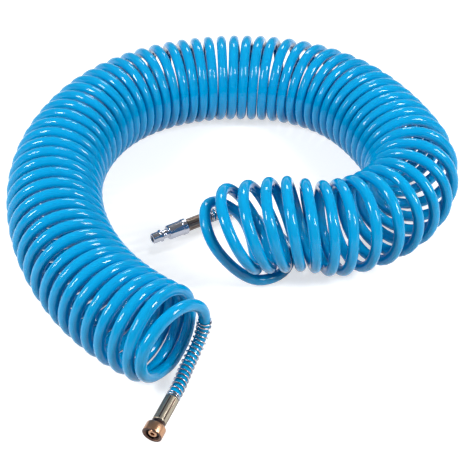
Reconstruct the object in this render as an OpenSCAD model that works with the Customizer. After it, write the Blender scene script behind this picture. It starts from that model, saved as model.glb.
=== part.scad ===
// Recoil air hose: a coiled polyurethane hose that lies in an open C on the floor, with a threaded
// swivel nut at one end and a quick-release plug at the other. Millimetres, +Z up, the floor at z = 0.
// The hose is wound left-handed. Turns are counted from the nut end; whole turns are at the top.

/* [Hose] */
// Outside diameter of the hose
hose_d = 10; // [9:0.5:11]
// Bore of the hose
hose_bore = 6.5; // [5.5:0.25:7.5]
// Mean radius of a turn, to the middle of the hose
turn_r = 39.5; // [37:0.5:42]
// Angle that the last turns lean over, for each turn
lean_step = 5.4; // [4:0.1:5.8]
// Clear height between the crossing hose and the turns above it
crossing_gap = 2; // [1.6:0.2:4]
// How much each side of a turn is relieved, so that touching turns stay apart
side_relief = 0.3; // [0.25:0.05:0.6]

/* [Guard springs] */
// Diameter of the spring wire
wire_d = 1.2; // [1:0.1:1.4]
// Clearance between the hose and the spring
spring_gap = 0.65; // [0.6:0.05:0.9]
// Length of the spring at the nut end
nut_spring_len = 78; // [60:1:84]
// Length of the spring at the plug end
plug_spring_len = 54; // [40:1:60]
// Curls in the spring at the nut end
nut_spring_curls = 14; // [8:1:16]
// Curls in the spring at the plug end
plug_spring_curls = 10; // [6:1:12]

/* [Ferrules] */
// Outside diameter of a crimped ferrule
ferrule_d = 12; // [11.8:0.1:13]
// Length of a ferrule
ferrule_len = 25; // [22:1:28]
// Thickness of the end wall that hooks onto the stem
ferrule_end = 1.5; // [1.2:0.1:2]
// Crimp lines round a ferrule
crimp_count = 8; // [6:1:10]
// Width of a crimp line
crimp_w = 0.6; // [0.4:0.1:0.8]
// Depth of a crimp line
crimp_depth = 0.25; // [0.15:0.05:0.35]

/* [Swivel nut] */
// Outside diameter of the nut's collar
nut_d = 17; // [16.5:0.5:19]
// Length of the collar, with its rounded shoulder
nut_collar_len = 9.5; // [9:0.5:11]
// Radius of the rounded shoulder
nut_shoulder_r = 1.8; // [1:0.1:2]
// Outside diameter of the nut's neck
nut_neck_d = 11.8; // [11.4:0.1:12]
// Overall length of the nut
nut_len = 12.4; // [12:0.2:14]
// Bore across the thread crests, G 1/4 inside
thread_bore_d = 11.45; // [11.4:0.05:11.6]
// Depth of the threaded bore
thread_depth = 8; // [7.6:0.2:8.4]
// Diameter of the countersunk mouth
nut_mouth_d = 15; // [13:0.5:15.5]
// Depth of the countersunk mouth
nut_mouth_depth = 1.1; // [0.6:0.1:1.5]

/* [Hose stems] */
// Bore through both stems
stem_bore = 3.8; // [3:0.2:4.4]
// Journal that the nut turns on
nut_journal_d = 8; // [7.6:0.2:8.4]
// Head that holds the nut on
nut_head_d = 10.4; // [10:0.1:10.8]
// Diameter of the cone's tip
cone_tip_d = 7; // [6.6:0.2:7.6]
// Distance that the cone's tip sits inside the nut's mouth
cone_inset = 1; // [0.6:0.1:1.4]
// Length of the cone
cone_len = 2.9; // [2.6:0.1:3.2]
// Journal that the plug turns on
plug_journal_d = 9; // [8.6:0.2:9.4]
// Length of the plug's journal
plug_journal_len = 12.5; // [12:0.5:14]
// Diameter where a stem grips the ferrule
stem_neck_d = 7; // [6.6:0.2:7.4]
// Distance between two barbs
barb_step = 5; // [4:0.5:6]
// Height of a barb
barb_h = 0.4; // [0.2:0.1:0.6]

/* [Plug] */
// Diameter of the plug's nose
nose_d = 10; // [9.6:0.2:10.4]
// Length of the nose
nose_len = 7.5; // [7:0.5:10]
// Diameter of the locking ridge
ridge_d = 12; // [11.6:0.2:12.6]
// Length of the locking ridge
ridge_len = 3; // [2.6:0.2:3.6]
// Diameter of the locking groove
groove_d = 8.4; // [8:0.2:9]
// Length of the locking groove
groove_len = 6; // [5:0.5:7]
// Diameter of the plug's body
body_d = 14; // [13.4:0.2:14.6]
// Length of the plug's body
body_len = 15; // [14:0.5:17]
// Diameter of the rear flange
flange_d = 15.4; // [15:0.2:16]
// Length of the rear flange
flange_len = 4.9; // [4:0.1:6]
// Air passage through the plug
plug_bore = 5.6; // [5:0.2:6]

/* [Seals and rings] */
// Cord diameter of both O-rings
seal_d = 1.2; // [1:0.1:1.4]
// Wire diameter of the retaining ring
clip_d = 1.2; // [1:0.1:1.3]
// Opening of the retaining ring, in degrees
clip_opening = 40; // [20:5:60]
// Thickness of a slip washer
washer_t = 0.6; // [0.4:0.1:0.8]

/* [Fits] */
// Radial clearance of the two swivel journals
swivel_gap = 0.05; // [0.03:0.01:0.08]
// Clearance of parts that are assembled and stay put
seat_gap = 0.05; // [0.03:0.01:0.1]
// End play of the swivels
end_gap = 0.3; // [0.2:0.05:0.4]

/* [Hidden] */

// ---- the C that the coil lies in ----
// Where the coil's axis starts on the floor, and its heading there
coil_start = [-49.4, -181];
coil_heading = 151;
// One row a stretch: turns, change of heading in degrees, gap between turns on the inner side
stretches = [
    [8, -27.5, 0.5], [8, -27.5, 3.6], [8, -34, 2.5], [8, -42, 0.1], [8, -29, 0.1], [8, -47, 0.3],
    [6, -18, 1.5], [4, -52, 0.3], [4, -39, 0.3], [4, -12, 2.5], [2, 1.5, 5.8], [2, 0.5, 0.5]];
// First and last turn of the wound length
first_turn = 0.625;
last_turn = 68.375;
// Turns over which the coil climbs onto the hose that crosses beneath it
climb_from = 62.5;
climb_turns = 3;
// Turn from which the turns lean over
lean_from = 62.6;
rings_per_turn = 8;
// A flat on the floor, so that the coil stands
floor_flat = hose_d / 10;

hose_r = hose_d / 2;
wire_r = wire_d / 2;
spring_r = hose_r + spring_gap + wire_r;
crossing_lift = hose_d + crossing_gap;

function stretch_len(s) = s[0] * (hose_d + s[2]) + abs(s[1]) * PI / 180 * turn_r;
function direction(a) = [cos(a), sin(a)];
// The chord of an arc that starts at heading h, has length l and turns by a degrees
function arc_step(h, l, a) =
    a == 0 ? l * direction(h) :
    let(r = l / (a * PI / 180))
    r * [sin(h + a) - sin(h), cos(h) - cos(h + a)];
// State where each stretch starts: turn, place, heading
function stretch_starts(i = 0, turn = 0, place = coil_start, h = coil_heading) =
    i == len(stretches) ? [] :
    let(s = stretches[i])
    concat([[turn, place, h]],
        stretch_starts(i + 1, turn + s[0], place + arc_step(h, stretch_len(s), s[1]), h + s[1]));
starts = stretch_starts();
function stretch_of(turn) = max([for (i = [0 : len(starts) - 1]) if (i == 0 || starts[i][0] <= turn) i]);
function heading(turn) =
    let(i = stretch_of(turn), s = stretches[i])
    starts[i][2] + s[1] * (turn - starts[i][0]) / s[0];
function axis_place(turn) =
    let(i = stretch_of(turn), s = stretches[i], share = (turn - starts[i][0]) / s[0])
    starts[i][1] + arc_step(starts[i][2], stretch_len(s) * share, s[1] * share);

function smooth(u) = let(v = min(max(u, 0), 1)) v * v * (3 - 2 * v);
function lift(turn) = crossing_lift * smooth((turn - climb_from) / climb_turns);
function lean(turn) = lean_step * max(turn - lean_from, 0);
// Unit vectors of a turn: along the coil, up in the leaning turn, and square to the leaning turn
function across(turn) = let(d = direction(heading(turn))) [-d[1], d[0], 0];
function upward(turn) =
    let(d = direction(heading(turn)), a = lean(turn))
    [d[0] * sin(a), d[1] * sin(a), cos(a)];
function forward(turn) =
    let(d = direction(heading(turn)), a = lean(turn))
    [d[0] * cos(a), d[1] * cos(a), -sin(a)];
function outward(turn) = across(turn) * sin(360 * turn) + upward(turn) * cos(360 * turn);
function turn_centre(turn) =
    let(p = axis_place(turn))
    [p[0], p[1], hose_r - floor_flat + lift(turn) + turn_r * cos(lean(turn))];
function hose_point(turn) = turn_centre(turn) + turn_r * outward(turn);

// ---- tubes: rings of points joined with triangles ----
function unit(v) = v / norm(v);
function above_floor(p) = [p[0], p[1], max(p[2], 0)];
function ring_faces(rings, sides) = [
    for (i = [0 : rings - 2])
        for (j = [0 : sides - 1])
            let(a = i * sides + j, b = i * sides + (j + 1) % sides)
                each [[a, b, b + sides], [a, b + sides, a + sides]]];
function cap_faces(rings, sides) = concat(
    [for (j = [1 : sides - 2]) [0, j + 1, j]],
    [for (j = [1 : sides - 2]) [0, j, j + 1] + [1, 1, 1] * (rings - 1) * sides]);
module tube(rings) {
    sides = len(rings[0]);
    polyhedron(
        points = [for (r = rings) each r],
        faces = concat(ring_faces(len(rings), sides), cap_faces(len(rings), sides)),
        convexity = 10);
}
// A path is a list of points; its way at a point halves the corner there
function path_way(path, i, last_way) =
    i == 0 ? unit(path[1] - path[0]) :
    i == len(path) - 1 ? last_way :
    unit(unit(path[i] - path[i - 1]) + unit(path[i + 1] - path[i]));
function path_ways(path, last_way) = [for (i = [0 : len(path) - 1]) path_way(path, i, last_way)];
// One side vector a point, carried along the path so that the rings don't twist
function path_sides(ways, side, i = 0) =
    i == len(ways) ? [] :
    let(u = unit(side - ways[i] * (ways[i] * side)))
    concat([u], path_sides(ways, u, i + 1));
function round_ring(centre, way, side, r, count) =
    let(other = cross(way, side))
    [for (j = [0 : count - 1])
        centre + r * (side * cos(360 * j / count) - other * sin(360 * j / count))];
function path_rings(path, last_way, r, count) =
    let(ways = path_ways(path, last_way), sides = path_sides(ways, [0, 0, 1]))
    [for (i = [0 : len(path) - 1]) [
        for (p = round_ring(path[i], ways[i], sides[i], r, count)) above_floor(p)]];

// A spring wound round a path: place and side vector at a distance along the path
function path_spot(path, sides, s, i = 0) =
    let(l = norm(path[i + 1] - path[i]))
    s > l && i < len(path) - 2 ? path_spot(path, sides, s - l, i + 1) :
    let(k = s / l, way = (path[i + 1] - path[i]) / l, side = sides[i] * (1 - k) + sides[i + 1] * k)
    [path[i] + way * s, way, unit(side - way * (way * side))];
function curl_point(path, sides, s, angle, r) =
    let(spot = path_spot(path, sides, s))
    spot[0] + r * (spot[2] * cos(angle) + cross(spot[1], spot[2]) * sin(angle));
function spring_points(path, last_way, from, length, curls, r) =
    let(sides = path_sides(path_ways(path, last_way), [0, 0, 1]), steps = curls * rings_per_turn)
    [for (i = [0 : steps])
        curl_point(path, sides, from + length * i / steps, -360 * i / rings_per_turn, r)];
// The wire runs on straight by its own diameter at both ends
function with_straight_ends(points, l) =
    let(n = len(points) - 1)
    concat([points[0] + l * unit(points[0] - points[1])], points,
        [points[n] + l * unit(points[n] - points[n - 1])]);
function wire_rings(points, r) =
    let(n = len(points) - 1, ways = path_ways(points, unit(points[n] - points[n - 1])),
        sides = path_sides(ways, [0, 0, 1]))
    [for (i = [0 : n]) round_ring(points[i], ways[i], sides[i], r, 6)];
function least_curl_gap(points) =
    min([for (i = [1 : len(points) - 2 - rings_per_turn])
        norm(points[i + rings_per_turn] - points[i])]) - wire_d;

// ---- the wound hose ----
coil_steps = round((last_turn - first_turn) * rings_per_turn);
coil_turns = [for (i = [0 : coil_steps]) first_turn + i / rings_per_turn];
// Six-sided section: along the turn's axis, and outward
section = [
    [hose_r / 2, hose_r], [-hose_r / 2, hose_r], [-(hose_r - side_relief), 0],
    [-hose_r / 2, -hose_r], [hose_r / 2, -hose_r], [hose_r - side_relief, 0]];
function coil_ring(turn, shift = [0, 0, 0]) = [
    for (s = section) above_floor(hose_point(turn) + shift + forward(turn) * s[0] + outward(turn) * s[1])];
// The way the hose runs at a turn, square to its section
function run(turn) = cross(outward(turn), forward(turn));
coil_rings = concat(
    [coil_ring(first_turn, -hose_d * run(first_turn))],
    [for (t = coil_turns) coil_ring(t)],
    [coil_ring(last_turn, hose_d * run(last_turn))]);
coil_head = hose_point(first_turn) - hose_d * run(first_turn);
coil_foot = hose_point(last_turn) + hose_d * run(last_turn);

// Least gap between a turn and the next, measured on the side points of their rings
function side_point(turn, way) = hose_point(turn) + way * (hose_r - side_relief) * forward(turn);
least_turn_gap = min([
    for (t = coil_turns)
        if (t + 1 <= last_turn)
            (side_point(t + 1, -1) - side_point(t, 1)) * forward(t + 0.5)]);
echo(least_turn_gap = least_turn_gap);

// ---- places of the two fittings ----
// Each fitting's axis runs from its open end towards the hose: place of the open end, heading, rise
nut_heading = 67;
nut_rise = 6;
nut_tip = [-65.2, -250.5, nut_d / 2 * cos(nut_rise)];
// The plug end and its hose follow the coil's last turn
end_place = axis_place(last_turn);
end_heading = heading(last_turn);
// A point given by its distances ahead of the coil's end, to the left and up from the floor
function from_end(p) =
    let(d = direction(end_heading))
    [end_place[0] + d[0] * p[0] - d[1] * p[1], end_place[1] + d[1] * p[0] + d[0] * p[1], p[2]];
// Distances along the nut end, from the nut's mouth
nut_ferrule_at = nut_len + washer_t + 2 * seat_gap;
nut_mouth_at = nut_ferrule_at + ferrule_len;
// Distances along the plug end, from the tip of the nose
plug_len = nose_len + ridge_len + groove_len + body_len + flange_len;
plug_ferrule_at = plug_len + washer_t + 2 * seat_gap;
plug_mouth_at = plug_ferrule_at + ferrule_len;

// The hose leaves the plug's ferrule at the first of these places and passes the second, ahead of the
// coil's end and to its left; the plug lies in line with both
plug_leaves = [for (p = [[21.8, -73.1], [11.15, -78.65]]) from_end([p[0], p[1], flange_d / 2])];
plug_way = plug_leaves[1] - plug_leaves[0];
plug_heading = atan2(plug_way[1], plug_way[0]);
plug_rise = 0;
plug_tip = plug_leaves[0] - plug_mouth_at * unit(plug_way);

function fitting_point(tip, turn_to, rise, s) =
    tip + s * [cos(rise) * cos(turn_to), cos(rise) * sin(turn_to), sin(rise)];
module at_fitting(tip, turn_to, rise) {
    translate(tip)
        rotate([0, 90 - rise, turn_to])
            children();
}
module at_nut() {
    at_fitting(nut_tip, nut_heading, nut_rise)
        children();
}
module at_plug() {
    at_fitting(plug_tip, plug_heading, plug_rise)
        children();
}

// The hose starts just past the end wall of its ferrule, and leaves the ferrule straight
straight_run = 12;
function hose_start(ferrule_at) = ferrule_at + ferrule_end + end_gap;
function nut_point(s) = fitting_point(nut_tip, nut_heading, nut_rise, s);
function plug_point(s) = fitting_point(plug_tip, plug_heading, plug_rise, s);

// ---- free stretches of the hose, by points chosen along them ----
nut_tail = concat(
    [nut_point(hose_start(nut_ferrule_at)), nut_point(nut_mouth_at), nut_point(nut_mouth_at + straight_run)],
    [[-41.2, -189.5, 15.5], [-36.2, -175.5, 18], [-30.7, -164.5, 23], [-26.7, -158.5, 31],
    [-24.7, -156, 42], [-25.2, -157.5, 53], [-28.2, -161.5, 63], [-33.2, -167.5, 71],
    [-39.7, -175, 76.5], [-46.7, -182.5, 78], [-54.7, -190, 76], [-61.7, -197.5, 72],
    [-67.7, -204.5, 66], [-72.2, -209, 57.5], [-74.7, -210, 48], [-74.7, -209, 36.5],
    [-72.7, -205, 27], [-69.2, -198.5, 18.5], [-64.2, -189, 12], [-57.7, -179, 8.5], [-51.2, -169, 7]],
    [coil_head]);
plug_tail = concat(
    [plug_point(hose_start(plug_ferrule_at)), plug_point(plug_mouth_at),
    plug_point(plug_mouth_at + straight_run)],
    [for (p = [
        [4, -82, 7.5], [-4.5, -81, 7], [-12.5, -75.5, 7], [-20, -67.5, 7], [-27, -59, 7.5],
        [-34.5, -50, 7.5], [-41, -41, 8], [-46, -31, 8], [-49.5, -20.5, 7.5], [-49.5, -9.5, 7],
        [-46.5, 1, 6], [-40, 9.5, 5], [-31, 15.5, 5], [-21, 19, 5.5], [-11.5, 21, 9], [-3.5, 22.5, 16],
        [4, 24, 24.5], [10.5, 25.5, 34], [16.5, 26.5, 43.5], [22.5, 25, 53], [27, 20.5, 62],
        [29.5, 13, 69], [30, 3.5, 73.5], [28, -6.5, 74.5], [23, -15, 72], [16.5, -21.5, 67],
        [8.5, -25, 59.5], [0.5, -26.5, 51.5], [-6.5, -25.5, 42.5], [-11, -22.5, 33], [-14, -16.5, 23.5],
        [-15, -8.5, 16.5], [-16.5, 1, 13.5], [-17, 11, 15]]) from_end(p)],
    [coil_foot]);
nut_tail_way = run(first_turn);
plug_tail_way = -run(last_turn);
nut_spring_points = spring_points(nut_tail, nut_tail_way,
    nut_mouth_at - hose_start(nut_ferrule_at) + wire_r + seat_gap, nut_spring_len, nut_spring_curls, spring_r);
plug_spring_points = spring_points(plug_tail, plug_tail_way,
    plug_mouth_at - hose_start(plug_ferrule_at) + wire_r + seat_gap, plug_spring_len, plug_spring_curls,
    spring_r);
echo(least_nut_curl_gap = least_curl_gap(nut_spring_points));
echo(least_plug_curl_gap = least_curl_gap(plug_spring_points));

// ---- the hose ----
module hose_coil() {
    color([0, 0.62, 0.87])
        tube(coil_rings);
}
// A free stretch, bored where the stem sits in it
module hose_tail(path, last_way) {
    color([0, 0.62, 0.87])
        difference() {
            tube(path_rings(path, last_way, hose_r, 12));
            translate(path[0])
                rotate([0, acos((path[1] - path[0])[2] / norm(path[1] - path[0])),
                    atan2((path[1] - path[0])[1], (path[1] - path[0])[0])])
                    translate([0, 0, -1])
                        cylinder(d = hose_bore, h = ferrule_len, $fn = 48);
        }
}
module hose_tail_nut_end() {
    hose_tail(nut_tail, nut_tail_way);
}
module hose_tail_plug_end() {
    hose_tail(plug_tail, plug_tail_way);
}

// ---- parts that both ends share ----
module guard_spring(points) {
    color([0.75, 0.77, 0.8])
        tube(wire_rings(with_straight_ends(points, wire_d), wire_r));
}
// A crimped sleeve: its end wall hooks onto the stem's neck
module ferrule(shade) {
    color(shade)
        difference() {
            cylinder(d = ferrule_d, h = ferrule_len, $fn = 96);
            translate([0, 0, ferrule_end])
                cylinder(r = hose_r + seat_gap, h = ferrule_len, $fn = 96);
            translate([0, 0, -1])
                cylinder(r = stem_neck_d / 2 + seat_gap, h = ferrule_len, $fn = 96);
            for (i = [0 : crimp_count - 1])
                rotate(360 * i / crimp_count)
                    translate([ferrule_d / 2 - crimp_depth, -crimp_w / 2, ferrule_end])
                        cube([crimp_depth * 2, crimp_w, ferrule_len - 2 * ferrule_end]);
        }
}
// Outline of a stem's shank from the ferrule's end wall to its far end, as [radius, distance]
barb_root_r = hose_bore / 2 - seat_gap - barb_h;
barb_tip_r = hose_bore / 2 - seat_gap;
barb_count = floor((ferrule_len - ferrule_end - 2) / barb_step);
function shank(ferrule_at) =
    let(neck_end = ferrule_at + ferrule_end + seat_gap, barbs_at = hose_start(ferrule_at) + 1)
    concat(
        [[stem_neck_d / 2, ferrule_at - seat_gap], [stem_neck_d / 2, neck_end], [barb_root_r, neck_end]],
        [for (i = [0 : barb_count - 1]) each [
            [barb_root_r, barbs_at + i * barb_step],
            [barb_tip_r, barbs_at + i * barb_step],
            [barb_root_r, barbs_at + (i + 0.8) * barb_step]]],
        [[barb_root_r, barbs_at + barb_count * barb_step], [stem_bore / 2, barbs_at + barb_count * barb_step]]);
module round_part(outline) {
    rotate_extrude($fn = 96)
        polygon(outline);
}
// A groove for a ring of section d, whose middle lies at radius r and distance z
module ring_groove(r, z, d) {
    translate([0, 0, z - d / 2 - seat_gap])
        difference() {
            cylinder(r = nut_d, h = d + 2 * seat_gap, $fn = 96);
            translate([0, 0, -1])
                cylinder(r = r - d / 2 - seat_gap, h = d + 3, $fn = 96);
        }
}
module o_ring(r, z) {
    color([0.08, 0.08, 0.09])
        translate([0, 0, z])
            rotate_extrude($fn = 96)
                translate([r, 0])
                    circle(d = seal_d, $fn = 32);
}
module slip_washer(bore_r, outer_r, z) {
    color([0.08, 0.08, 0.09])
        translate([0, 0, z])
            difference() {
                cylinder(r = outer_r, h = washer_t, $fn = 96);
                translate([0, 0, -1])
                    cylinder(r = bore_r, h = washer_t + 2, $fn = 96);
            }
}

// ---- the nut end ----
nut_journal_r = nut_journal_d / 2;
nut_head_end = thread_depth - end_gap;
cone_end = cone_inset + cone_len;
cone_seal_z = cone_inset + cone_len * 0.6;
cone_seal_r = cone_tip_d / 2 + (nut_head_d - cone_tip_d) / 2 * 0.6 - seal_d * 0.35;
module nut_guard_spring() {
    guard_spring(nut_spring_points);
}
module nut_ferrule() {
    at_nut()
        translate([0, 0, nut_ferrule_at])
            ferrule([0.78, 0.72, 0.5]);
}
module nut_stem() {
    color([0.8, 0.6, 0.42])
        at_nut()
            difference() {
                round_part(concat(
                    [[stem_bore / 2, cone_inset], [cone_tip_d / 2, cone_inset], [nut_head_d / 2, cone_end],
                    [nut_head_d / 2, nut_head_end], [nut_journal_r, nut_head_end],
                    [nut_journal_r, nut_ferrule_at - seat_gap]],
                    shank(nut_ferrule_at)));
                ring_groove(cone_seal_r, cone_seal_z, seal_d);
            }
}
module cone_o_ring() {
    at_nut()
        o_ring(cone_seal_r, cone_seal_z);
}
module nut_slip_washer() {
    at_nut()
        slip_washer(nut_journal_r + swivel_gap, nut_neck_d / 2 - end_gap, nut_len + seat_gap);
}
// Rounded shoulder of the nut's collar
function shoulder(n = 8) = [
    for (i = [0 : n])
        [nut_d / 2 - nut_shoulder_r * (1 - cos(90 * i / n)),
        nut_collar_len - nut_shoulder_r * (1 - sin(90 * i / n))]];
module swivel_nut() {
    edge = 0.3;
    color([0.8, 0.6, 0.42])
        at_nut()
            difference() {
                round_part(concat(
                    [[nut_journal_r, 0], [nut_d / 2 - edge, 0], [nut_d / 2, edge]],
                    shoulder(),
                    [[nut_neck_d / 2 + edge, nut_collar_len], [nut_neck_d / 2, nut_collar_len + edge],
                    [nut_neck_d / 2, nut_len], [nut_journal_r, nut_len]]));
                translate([0, 0, -1])
                    cylinder(r = nut_journal_r + swivel_gap, h = nut_len + 2, $fn = 96);
                translate([0, 0, -1])
                    cylinder(d = thread_bore_d, h = thread_depth + 1, $fn = 96);
                translate([0, 0, -seat_gap])
                    cylinder(d1 = nut_mouth_d, d2 = thread_bore_d, h = nut_mouth_depth, $fn = 96);
            }
}

// ---- the plug end ----
plug_journal_r = plug_journal_d / 2;
pocket_depth = plug_journal_len + end_gap;
plug_seal_z = plug_len - plug_journal_len * 0.4;
plug_seal_r = plug_journal_r - seal_d / 2;
clip_z = plug_len - plug_journal_len * 0.75;
clip_r = plug_journal_r + swivel_gap;
module plug_guard_spring() {
    guard_spring(plug_spring_points);
}
module plug_ferrule() {
    at_plug()
        translate([0, 0, plug_ferrule_at])
            ferrule([0.36, 0.33, 0.32]);
}
module plug_stem() {
    color([0.6, 0.62, 0.66])
        at_plug()
            difference() {
                round_part(concat(
                    [[stem_bore / 2, plug_len - plug_journal_len], [plug_journal_r, plug_len - plug_journal_len],
                    [plug_journal_r, plug_ferrule_at - seat_gap]],
                    shank(plug_ferrule_at)));
                ring_groove(plug_seal_r, plug_seal_z, seal_d);
                ring_groove(clip_r, clip_z, clip_d + 2 * swivel_gap);
            }
}
module plug_o_ring() {
    at_plug()
        o_ring(plug_seal_r, plug_seal_z);
}
module plug_slip_washer() {
    at_plug()
        slip_washer(plug_journal_r + swivel_gap, ferrule_d / 2 - end_gap, plug_len + seat_gap);
}
// A round-wire snap ring, open on one side
module plug_retaining_ring() {
    color([0.55, 0.56, 0.58])
        at_plug()
            translate([0, 0, clip_z])
                rotate_extrude(angle = 360 - clip_opening, $fn = 96)
                    translate([clip_r, 0])
                        circle(d = clip_d, $fn = 32);
}
module plug_nipple() {
    bevel = 0.8;
    edge = 0.4;
    ridge_at = nose_len;
    groove_at = ridge_at + ridge_len;
    body_at = groove_at + groove_len;
    flange_at = body_at + body_len;
    color([0.7, 0.72, 0.78])
        at_plug()
            difference() {
                round_part([
                    [plug_bore / 2, 0], [nose_d / 2 - bevel, 0], [nose_d / 2, bevel], [nose_d / 2, ridge_at],
                    [ridge_d / 2, ridge_at + bevel], [ridge_d / 2, groove_at - bevel],
                    [groove_d / 2, groove_at], [groove_d / 2, body_at],
                    [body_d / 2 - bevel, body_at], [body_d / 2, body_at + bevel], [body_d / 2, flange_at],
                    [flange_d / 2 - edge, flange_at], [flange_d / 2, flange_at + edge],
                    [flange_d / 2, plug_len - edge], [flange_d / 2 - edge, plug_len],
                    [plug_bore / 2, plug_len]]);
                translate([0, 0, plug_len - pocket_depth])
                    cylinder(r = plug_journal_r + swivel_gap, h = pocket_depth + 1, $fn = 96);
                translate([0, 0, clip_z])
                    rotate_extrude($fn = 96)
                        translate([clip_r, 0])
                            square([clip_d + 2 * seat_gap, clip_d + 2 * seat_gap], center = true);
            }
}

hose_coil();
hose_tail_nut_end();
hose_tail_plug_end();
nut_guard_spring();
nut_ferrule();
nut_stem();
cone_o_ring();
nut_slip_washer();
swivel_nut();
plug_guard_spring();
plug_ferrule();
plug_stem();
plug_o_ring();
plug_slip_washer();
plug_retaining_ring();
plug_nipple();
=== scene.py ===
# %% [markdown]
# # A coiled air hose
#
# This lesson dresses a coiled polyurethane air hose. The hose is wound into about seventy turns, and
# the coil lies on the floor in an open C. One end has a threaded swivel nut and the other a
# quick-release plug. Each end is crimped with a metal ferrule, and a wire spring guards the hose
# where it leaves the ferrule.
#
# The construction model is loaded first. It says where every piece is, so nothing is placed by eye.

import math

import bpy
import numpy as np
from mathutils import Matrix, Vector


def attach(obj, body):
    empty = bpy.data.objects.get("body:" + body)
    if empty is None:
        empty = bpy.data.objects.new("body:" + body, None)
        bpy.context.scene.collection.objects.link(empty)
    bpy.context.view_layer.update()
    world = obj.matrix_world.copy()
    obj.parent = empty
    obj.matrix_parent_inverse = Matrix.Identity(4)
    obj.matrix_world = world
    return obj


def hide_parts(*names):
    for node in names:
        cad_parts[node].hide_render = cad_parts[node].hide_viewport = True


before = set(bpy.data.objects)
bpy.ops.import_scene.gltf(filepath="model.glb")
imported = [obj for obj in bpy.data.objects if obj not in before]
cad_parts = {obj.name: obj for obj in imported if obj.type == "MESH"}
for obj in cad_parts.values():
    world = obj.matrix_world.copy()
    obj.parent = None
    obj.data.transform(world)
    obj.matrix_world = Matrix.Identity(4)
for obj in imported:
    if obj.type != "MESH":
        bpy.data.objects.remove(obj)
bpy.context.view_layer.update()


def rounded(values, digits=3):
    return [round(value, digits) for value in values]


# %% [markdown]
# ## The camera
#
# The hose is seen from the front and from above, at 40 degrees. A long lens from about a metre away
# keeps the far side of the C nearly as large as the near side. The camera is built from the point
# that it looks at, its distance and its elevation, because these three numbers are easy to reason about.
# The Standard view shows each colour as it is written.

# %% Camera
CAMERA_TARGET = Vector((0.0001, -0.044, 0.040))
CAMERA_DISTANCE = 1.090
CAMERA_ELEVATION = math.radians(40)
CAMERA_LENS = 93.06
CAMERA_SENSOR = 36

bpy.ops.object.camera_add()
camera = bpy.context.object
camera.name = "camera"
look = Vector((0, math.cos(CAMERA_ELEVATION), -math.sin(CAMERA_ELEVATION)))
camera.location = CAMERA_TARGET - look * CAMERA_DISTANCE
camera.rotation_euler = look.to_track_quat("-Z", "Y").to_euler()
camera.data.lens = CAMERA_LENS
camera.data.sensor_width = CAMERA_SENSOR
camera.data.dof.use_dof = False
bpy.context.scene.camera = camera
bpy.context.scene.view_settings.view_transform = "Standard"
print("camera at", rounded(camera.location))

# %% [markdown]
# ## The route of the hose
#
# The wound part follows a rule. Its axis is a chain of arcs on the floor, and each arc is given by
# its number of turns, how far it bends and how wide the gaps between its turns are on the inner side.
# Near the plug the turns climb onto the hose that crosses beneath them, and then lean over. The rule
# and its numbers are those of the construction model, here in metres.

# %% The coil's rule
HOSE_D = 0.010
HOSE_R = HOSE_D / 2
TURN_R = 0.0395
COIL_START = np.array([-0.0494, -0.181])
COIL_HEADING = 151
STRETCHES = (
    (8, -27.5, 0.0005), (8, -27.5, 0.0036), (8, -34, 0.0025), (8, -42, 0.0001), (8, -29, 0.0001),
    (8, -47, 0.0003), (6, -18, 0.0015), (4, -52, 0.0003), (4, -39, 0.0003), (4, -12, 0.0025),
    (2, 1.5, 0.0058), (2, 0.5, 0.0005))
FIRST_TURN = 0.625
LAST_TURN = 68.375
CLIMB_FROM = 62.5
CLIMB_TURNS = 3
LEAN_FROM = 62.6
LEAN_STEP = 5.4
CROSSING_GAP = 0.002
CROSSING_LIFT = HOSE_D + CROSSING_GAP


def direction(degrees):
    return np.array([math.cos(math.radians(degrees)), math.sin(math.radians(degrees))])


def stretch_length(turns, bend, gap):
    return turns * (HOSE_D + gap) + abs(math.radians(bend)) * TURN_R


def arc_step(heading, length, bend):
    radius = length / math.radians(bend)
    start, end = math.radians(heading), math.radians(heading + bend)
    return radius * np.array([math.sin(end) - math.sin(start), math.cos(start) - math.cos(end)])


starts = []
turn, place, heading = 0, COIL_START, COIL_HEADING
for stretch in STRETCHES:
    starts.append((turn, place, heading))
    turns, bend, gap = stretch
    place = place + arc_step(heading, stretch_length(turns, bend, gap), bend)
    turn, heading = turn + turns, heading + bend
print("the axis has", len(starts), "arcs and", turn, "turns")


# %% A point on the wound hose
ARC_START = 1e-9


def axis_at(turn):
    """Place on the floor and heading of the coil's axis at a turn."""
    row = max(i for i, start in enumerate(starts) if i == 0 or start[0] <= turn)
    turns, bend, gap = STRETCHES[row]
    share = (turn - starts[row][0]) / turns
    heading = starts[row][2] + bend * share
    if abs(share) < ARC_START:
        return starts[row][1], heading
    length = stretch_length(turns, bend, gap)
    return starts[row][1] + arc_step(starts[row][2], length * share, bend * share), heading


def smooth_step(value):
    """0 below 0, 1 above 1 and a smooth rise between them."""
    value = min(max(value, 0), 1)
    return value * value * (3 - 2 * value)


def wound_point(turn):
    """A point on the middle line of the wound hose."""
    place, heading = axis_at(turn)
    ahead = direction(heading)
    lean = math.radians(LEAN_STEP * max(turn - LEAN_FROM, 0))
    across = np.array([-ahead[1], ahead[0], 0])
    up = np.array([ahead[0] * math.sin(lean), ahead[1] * math.sin(lean), math.cos(lean)])
    lift = CROSSING_LIFT * smooth_step((turn - CLIMB_FROM) / CLIMB_TURNS)
    centre = np.array([place[0], place[1], HOSE_R + lift + TURN_R * math.cos(lean)])
    angle = 2 * math.pi * turn
    return centre + TURN_R * (across * math.sin(angle) + up * math.cos(angle))


print("the first turn starts at", wound_point(FIRST_TURN).round(4))
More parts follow.
